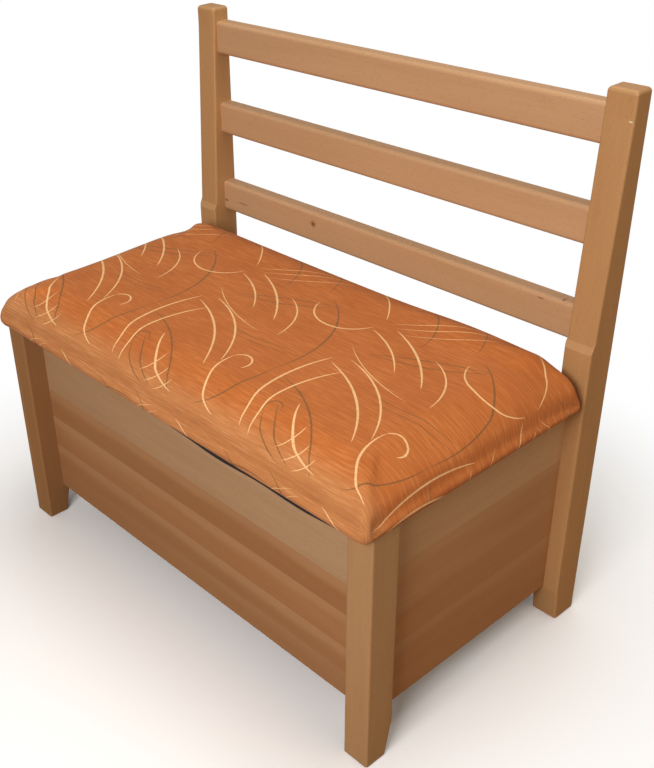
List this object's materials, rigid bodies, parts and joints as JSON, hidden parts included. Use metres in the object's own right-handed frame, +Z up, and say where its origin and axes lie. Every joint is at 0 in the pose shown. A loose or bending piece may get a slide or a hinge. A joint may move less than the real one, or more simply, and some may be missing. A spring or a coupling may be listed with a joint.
{
  "type": "corner storage bench",
  "caption": "Wooden storage bench with a ladder back, a box of glued staves and a crowned, upholstered seat lid that swings up on rear hinges.",
  "frame": {"origin": "on the floor under the middle of the whole bench", "axes": "+X along the width towards the right-hand end as seen from the front, +Y towards the back, +Z up"},
  "size_m": [0.88, 0.52, 0.862],
  "materials": {
    "beech": "satin lacquer",
    "tenon_wood": "bare",
    "plywood": "bare",
    "seat_fabric": "chenille",
    "foam": "open cell",
    "underside_cloth": "non-woven",
    "hinge_steel": "zinc plated"
  },
  "bodies": {
    "frame": {"back_panel_stave_1": "beech", "back_panel_stave_2": "beech", "back_panel_stave_3": "beech", "back_panel_stave_4": "beech", "back_panel_stave_5": "beech", "back_rail_low": "beech", "back_rail_middle": "beech", "back_rail_top": "beech", "fixed_leaf_left": "hinge_steel", "fixed_leaf_right": "hinge_steel", "fixed_leaf_screws": "hinge_steel", "floor_cleat_back": "beech", "floor_cleat_front": "beech", "floor_cleat_left": "beech", "floor_cleat_right": "beech", "front_leg_left": "beech", "front_leg_right": "beech", "front_panel_stave_1": "beech", "front_panel_stave_2": "beech", "front_panel_stave_3": "beech", "front_panel_stave_4": "beech", "front_panel_stave_5": "beech", "front_panel_stave_6": "beech", "hinge_pin_left": "hinge_steel", "hinge_pin_right": "hinge_steel", "panel_tenons": "tenon_wood", "rear_ledge": "beech", "rear_post_left": "beech", "rear_post_right": "beech", "side_panel_left_stave_1": "beech", "side_panel_left_stave_2": "beech", "side_panel_left_stave_3": "beech", "side_panel_left_stave_4": "beech", "side_panel_left_stave_5": "beech", "side_panel_right_stave_1": "beech", "side_panel_right_stave_2": "beech", "side_panel_right_stave_3": "beech", "side_panel_right_stave_4": "beech", "side_panel_right_stave_5": "beech", "storage_floor": "plywood"},
    "seat_lid": {"moving_leaf_left": "hinge_steel", "moving_leaf_right": "hinge_steel", "moving_leaf_screws": "hinge_steel", "seat_board": "plywood", "seat_cover": "seat_fabric", "seat_foam": "foam", "underside_cloth": "underside_cloth"}
  },
  "joints": [
    {"name": "seat_lid_hinge", "type": "hinge", "parent": "frame", "child": "seat_lid", "pos_m": [0, 0.201, 0.458], "axis": [-1, 0, 0], "range_deg": [0, 60]}
  ]
}
